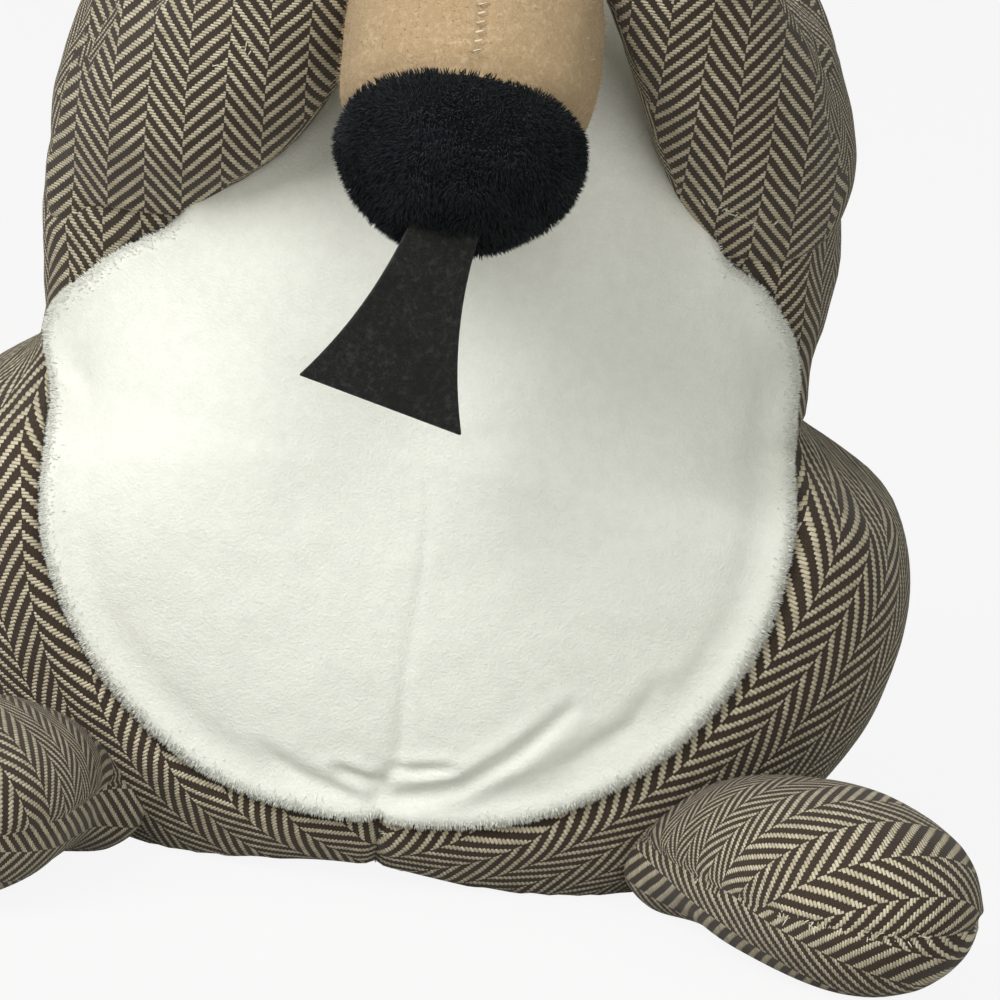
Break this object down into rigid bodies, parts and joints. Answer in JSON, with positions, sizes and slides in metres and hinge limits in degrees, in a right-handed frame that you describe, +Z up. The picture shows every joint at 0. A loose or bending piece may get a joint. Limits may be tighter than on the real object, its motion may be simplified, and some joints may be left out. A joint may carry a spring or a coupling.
{
  "type": "weighted door stop",
  "caption": "Sand-weighted stuffed squirrel in herringbone tweed with a cream plush tummy, holding a felt acorn, that stands on the floor to keep a door open.",
  "frame": {"origin": "middle of the flat base panel, on the floor", "axes": "+Z up, the squirrel faces -Y, its tail is at +Y"},
  "size_m": [0.2106, 0.2402, 0.2884],
  "materials": {
    "tweed": "herringbone wool tweed, cream yarn on dark brown",
    "cream_plush": "short cream plush",
    "tan_felt": "tan wool felt",
    "black_plush": "black plush",
    "charcoal_felt": "charcoal wool felt",
    "tail_fur": "dark grey-brown fur plush",
    "black_bead": "polished black",
    "washer_plastic": "moulded white",
    "sand_bag_cotton": "plain cotton bag of sand",
    "stuffing": "loose polyester fibre"
  },
  "bodies": {
    "root": {"base_panel": "tweed", "body_side_left": "tweed", "body_side_right": "tweed", "tummy_left": "cream_plush", "tummy_right": "cream_plush", "weight_bag": "sand_bag_cotton", "body_stuffing": "stuffing", "arm_left": "tweed", "arm_right": "tweed", "arm_stuffing_left": "stuffing", "arm_stuffing_right": "stuffing", "foot_left": "tweed", "foot_right": "tweed", "foot_stuffing_left": "stuffing", "foot_stuffing_right": "stuffing", "tail": "tail_fur", "tail_stuffing": "stuffing", "head_left": "tweed", "head_right": "tweed", "face": "cream_plush", "head_stuffing": "stuffing", "eye_left": "black_bead", "eye_right": "black_bead", "eye_washer_left": "washer_plastic", "eye_washer_right": "washer_plastic", "nose": "black_bead", "ear_left": "tweed", "ear_right": "tweed", "ear_lining_left": "cream_plush", "ear_lining_right": "cream_plush", "acorn_nut": "tan_felt", "acorn_nut_stuffing": "stuffing", "acorn_cap": "black_plush", "acorn_stalk": "charcoal_felt"}
  },
  "joints": []
}
